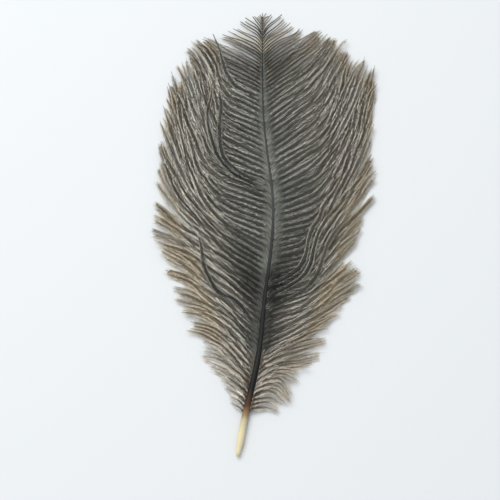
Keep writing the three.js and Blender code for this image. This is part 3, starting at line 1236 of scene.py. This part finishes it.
# How a vane's barbs grow, in millimetres, degrees and shares of a barb.
VANE_BARBS = {
    "step": 0.75,  # of the path that follows the flow
    "longest": 92,
    "shortest": 3,
    "joints": 34,  # steps of the finished barb
    "first_steps": 3,  # these don't count as past the outline
    "root_out": 0.8,  # where a barb's root is, as a share of the shaft's radius
    "leave_reach": 3.0,  # over which it turns from the angle at which it leaves the shaft
    "clump": (1, 4),  # how many barbs hold together
    "drift": 2.0,  # how far its way is off the flow, alike in a run of neighbours
    "drift_run": 4,
    "own_drift": 0.8,
    "drift_over": (4, 18),  # the distances along the barb over which that sets in
    "wave": 2.8,  # how far its way swings to and fro
    "least_wave": 0.3,
    "wavelength": (14, 40),
    "ragged": 0.06,
    "lone_share": 0.32,  # how many reach further than their neighbours, and how far
    "lone_reach": 4.2,
    "lone_most": 0.12,
    "late": (16, 34),  # the distances along the barb over which it gets less orderly
    "late_drift": 4,
    "late_wave": 0.4,
    "widest_gap": 2.25,  # wider ones get companions
    "curl": 14,  # how far a tip curls aside, over what length, and on how long a barb in full
    "curl_reach": 8,
    "curl_full": 30,
    "pull": (0.0, 0.4),  # how far a clump's ends are drawn together
    "low_pull": (0.1, 0.7),  # and how much further low on the vane
    "low_pull_ends": (58, 84),
    "pull_from": 0.45,
    "uneven": 1.7,  # how far short of their length some stop
    "uneven_most": 0.08,
    "root_height": 0.15,
    "lift": (1.5, 2.4),  # how high a clump is over the inner vane
    "lift_over": (0.02, 0.35),
    "drop": (0.6, 1.9),  # and at the edge
    "drop_over": (0.35, 1),
    "weave": 0.35,
    "weave_length": 17,
    "weave_over": (0.05, 0.4),
    "lowest": 0.3,
}
DOWNY_BARBS = VANE_BARBS | {
    "longest": 40,
    "widest_gap": 2.4,
    "low_pull": (0, 0.4),
    "wave": 6,
    "wavelength": (12, 24),
    "drift": 5,
    "drift_run": 2,
    "own_drift": 6,
    "late_drift": 5,
    "ragged": 0.07,
    "lift": (0.8, 3.0),
    "drop": (0.4, 2.2),
    "joints": 24,
}

# How the vanes' barbules stand, in millimetres, degrees and shares.
VANE_BARBULES = {
    "root_extra": 5,  # the barbules of this much more barb crowd in beside the shaft
    "bare_tip": 2.8,
    "bare_least": 0.3,
    "bare_part": 6,  # the bare tip is at most the barb's length divided by this
    "short_base": 1.8,
    "full_from": 3,
    "tip_reach": 0.3,  # how long the last ones are, and how widely they open
    "tip_spread": 0.4,
    "taper_reach": 10,
    "free_slope": 0.85,  # barbs that run up the feather more steeply have theirs folded in
    "fold": 0.35,
    "short_barb": 8,  # barbs this long have the least barbules, and full ones the longest
    "full_barb": 36,
    "least_reach": 0.13,
    "own_reach": (0.75, 1.2),
    "low_share": 0.3,  # of long barbules that hang below the rest
    "low_reach": 1.45,
    "low_droop": 9,
    "band": (0.5, 3.2),  # the distances over which they stop lying over the barbs
    "band_rise": 16,
    "open_angle": 54,  # of a barbule's foot from its barb, and of its end
    "tip_angle": 11,
    "bend_at": 0.38,
    "narrowing": 0.1,
    "wander": 4,
    "spread_wave": 19,  # along a barb, from where they open wide to where they do so again
    "own_spread": 0.1,
    "spread_swing": 0.16,
    "rise": -9,
    "rise_jitter": 6,
    "own_thickness": (0.75, 1.25),
    "thinning": 0.3,
    "lowest": 0.06,
}
DOWNY_BARBULES = VANE_BARBULES | {
    "spacing": 0.09,
    "thickness": 0.14,
    "open_angle": 46,
    "tip_angle": 14,
    "wander": 6,
    "rise": -12,
    "rise_jitter": 9,
    "short_barb": 0,
    "full_barb": 9,
    "tip_spread": 0.7,
    "band": (0.5, 0.6),
    "fold": 0,
}


class FEATHER_OT_vanes(Operator):
    """Grows both vanes: the barbs and their barbules"""

    bl_idname = "feather.vanes"
    bl_label = "Vanes"

    def execute(self, context):
        given = context.scene.feather_vane
        shaft = Shaft()
        for sign, past, strays, seed in (
            (LEFT, LEFT_PAST, LEFT_STRAYS, given.left_seed),
            (RIGHT, RIGHT_PAST, RIGHT_STRAYS, given.right_seed),
        ):
            rng = np.random.default_rng(seed)
            side = Side(shaft, sign)
            roots = root_stations(VANE_START, shaft.tip - shaft.quill - VANE_STOPS, rng)
            form = VANE_BARBS | {"past_edge": past}
            barbs, roots = grow_barbs(side, roots, rng, form)
            for part in VANE_PARTS:
                own = barbs.part((roots >= part.stations[0]) & (roots < part.stations[1]))
                self.grow(own, part, given, rng)
            self.grow(stray_barbs(side, strays, form), STRAY_PARTS[sign], given, rng)
        return {"FINISHED"}

    def grow(self, barbs, part, given, rng):
        """The barbs of one part of a vane, and the barbules that line them."""
        sign, word = barbs.side.sign, barbs.side.word
        name = f"{word}_{part.name}"
        paler, sooner = (1, 0) if sign == LEFT else (part.right, RIGHT_SOONER)
        finish = {
            "low_tone": part.tones[0] * paler,
            "high_tone": part.tones[1] * paler,
            "turn": part.turn[0] - sooner,
            "turned": part.turn[1] - sooner,
            "tip_start": part.tip_start - sooner,
            "strips": len(barbs.length),
        }
        inner = blend(given.barb_colour, given.barb_warm_colour, part.warm)
        outer = blend(given.barb_outer_colour, given.barb_warm_colour, part.warm)
        tip = Vector(given.barb_tip_colour) * part.tip_paler
        material = strand_material(
            f"Barb {word} {part.name}",
            specular=0.2,
            # The band by the shaft, with the part's painted side light and shade low on the vane.
            root=Vector(given.barb_root_colour) * part.roots[sign],
            inner=(inner, inner),
            outer=(outer, outer),
            tip=(tip, tip),
            mottle=0.2,
            **finish,
        )
        radii = np.array([given.barb_root, given.barb_tip]) * part.thick / MM / 2
        tubes = barb_tubes(barbs, *radii)
        keep(strand_object("barbs_" + name, tubes, material), "vane_" + word, "barbs")
        foot = blend(given.barbule_foot_colour, given.barbule_warm_foot_colour, part.warm)
        pale = blend(given.barbule_colour, given.barbule_tip_colour, part.warm)
        outer_pale = blend(given.barbule_outer_colour, given.barbule_tip_colour, part.warm)
        material = strand_material(
            f"Barbule {word} {part.name}",
            specular=0.15,
            # The band by the shaft, with the part's painted side light and shade low on the vane.
            root=Vector(given.barbule_root_colour) * part.roots[sign],
            inner=(foot, pale),
            outer=(given.barbule_outer_foot_colour, outer_pale),
            tip=(given.barbule_edge_foot_colour, given.barbule_tip_colour),
            foot_end=part.foot_end,
            mottle=0.15,
            **finish,
        )
        form = VANE_BARBULES | {
            "spacing": given.barbule_spacing / MM,
            "length": given.barbule_length / MM,
            "thickness": given.barbule_thickness / MM,
        }
        made = barbules_of(barbs, rng, form | part.stand)
        keep(strand_object("barbules_" + name, made, material), "vane_" + word, "barbs")


class FEATHER_OT_down(Operator):
    """Grows both tufts of down at the quill"""

    bl_idname = "feather.down"
    bl_label = "Down"

    FOOT_PALER = 1.4  # how much paler the barbules' feet are in the outer half

    def execute(self, context):
        given = context.scene.feather_down
        shaft = Shaft()
        rng = np.random.default_rng(given.seed)
        for sign, past in ((LEFT, given.left_reach), (RIGHT, given.right_reach)):
            side = Side(shaft, sign)
            form = DOWNY_BARBS | {"past_edge": ((0, past / MM),)}
            barbs, roots = grow_barbs(side, root_stations(*DOWN_STATIONS, rng), rng, form)
            self.grow(barbs, given, rng)
        return {"FINISHED"}

    def grow(self, barbs, given, rng):
        """One tuft's barbs, and the barbules that line them."""
        word = barbs.side.word
        strips = len(barbs.length)
        inner, tip = given.barb_colour, given.barb_tip_colour
        material = strand_material(
            f"Downy barb {word}",
            strips=strips,
            specular=0.3,
            root=inner,
            inner=(inner, inner),
            outer=(inner, inner),
            tip=(tip, tip),
        )
        tubes = barb_tubes(barbs, given.barb_root / MM / 2, given.barb_tip / MM / 2)
        keep(strand_object(f"down_barbs_{word}", tubes, material), "down_" + word, "down")
        foot = given.barbule_foot_colour
        material = strand_material(
            f"Downy barbule {word}",
            strips=strips,
            specular=0.2,
            root=foot,
            inner=(foot, given.barbule_colour),
            outer=(Vector(foot) * self.FOOT_PALER, given.tip_colour),
            tip=(given.barb_tip_colour, given.tip_colour),
            foot_end=0.3,
        )
        form = DOWNY_BARBULES | {"length": given.barbule_length / MM}
        made = barbules_of(barbs, rng, form)
        keep(strand_object(f"down_barbules_{word}", made, material), "down_" + word, "down")


class FEATHER_PT_panel(Panel):
    """Lists the feather's pieces and their settings"""

    bl_label = "Ostrich Feather"
    bl_idname = "FEATHER_PT_panel"
    bl_space_type = "VIEW_3D"
    bl_region_type = "UI"
    bl_category = "Feather"

    def draw(self, context):
        for operator in OPERATORS:
            self.layout.operator(operator.bl_idname)
        for name, group in SETTINGS.items():
            box = self.layout.box()
            box.label(text=group.__doc__)
            for field in group.__annotations__:
                box.prop(getattr(context.scene, name), field)


OPERATORS = (FEATHER_OT_stage, FEATHER_OT_shaft, FEATHER_OT_vanes, FEATHER_OT_down)
CLASSES = (*SETTINGS.values(), *OPERATORS, FEATHER_PT_panel)


def register():
    for cls in CLASSES:
        bpy.utils.register_class(cls)
    for name, group in SETTINGS.items():
        setattr(bpy.types.Scene, name, PointerProperty(type=group))


def unregister():
    for name in SETTINGS:
        delattr(bpy.types.Scene, name)
    for cls in reversed(CLASSES):
        bpy.utils.unregister_class(cls)


def main():
    """Makes every piece in order."""
    register()
    bpy.ops.feather.stage()
    bpy.ops.feather.shaft()
    bpy.ops.feather.vanes()
    bpy.ops.feather.down()


if __name__ == "__main__":
    main()
